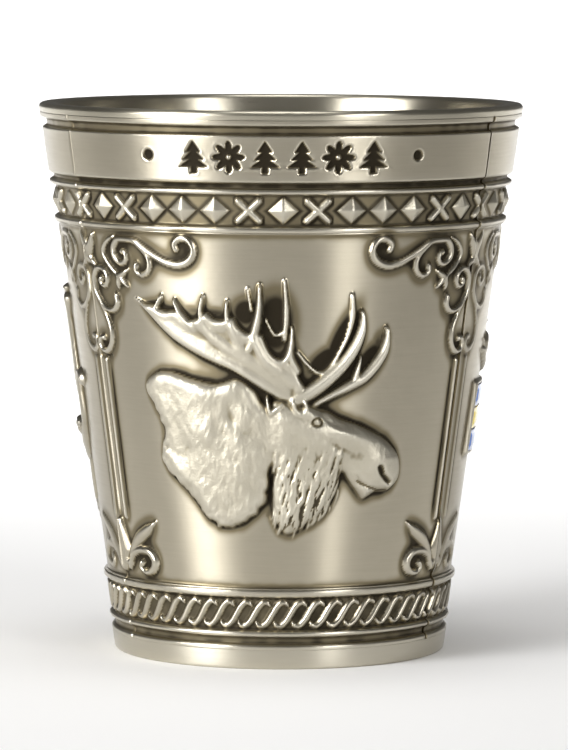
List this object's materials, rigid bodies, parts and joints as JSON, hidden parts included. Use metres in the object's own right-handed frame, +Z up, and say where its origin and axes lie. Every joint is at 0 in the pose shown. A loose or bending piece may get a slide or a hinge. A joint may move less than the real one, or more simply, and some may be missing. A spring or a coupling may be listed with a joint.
{
  "type": "shot glass",
  "caption": "Tapered metal shot glass with a rolled rim, relief picture panels, a lozenge band, a rope band and small enamel fills.",
  "frame": {"origin": "middle of the foot, on the surface that the glass stands on", "axes": "+Z up through the mouth; -Y towards the front panel with the moose head; +X to the right of someone facing that panel"},
  "size_m": [0.0492, 0.0492, 0.0556],
  "materials": {
    "pewter": "antique pewter: brushed and burnished on the high parts, black patina in the recesses",
    "steel": "bright spun metal with fine rings round the cup",
    "enamel_blue": "glossy enamel",
    "enamel_yellow": "glossy enamel"
  },
  "bodies": {
    "root": {"inner_cup": "steel", "base_cap": "pewter", "relief_panel_front": "pewter", "relief_panel_left": "pewter", "relief_panel_right": "pewter", "enamel_near_flag_blue_upper_hoist": "enamel_blue", "enamel_near_flag_blue_lower_hoist": "enamel_blue", "enamel_near_flag_blue_upper_fly": "enamel_blue", "enamel_near_flag_blue_lower_fly": "enamel_blue", "enamel_near_flag_yellow_cross": "enamel_yellow", "enamel_far_flag_blue_upper_hoist": "enamel_blue", "enamel_far_flag_blue_lower_hoist": "enamel_blue", "enamel_far_flag_blue_upper_fly": "enamel_blue", "enamel_far_flag_blue_lower_fly": "enamel_blue", "enamel_far_flag_yellow_cross": "enamel_yellow"}
  },
  "joints": []
}
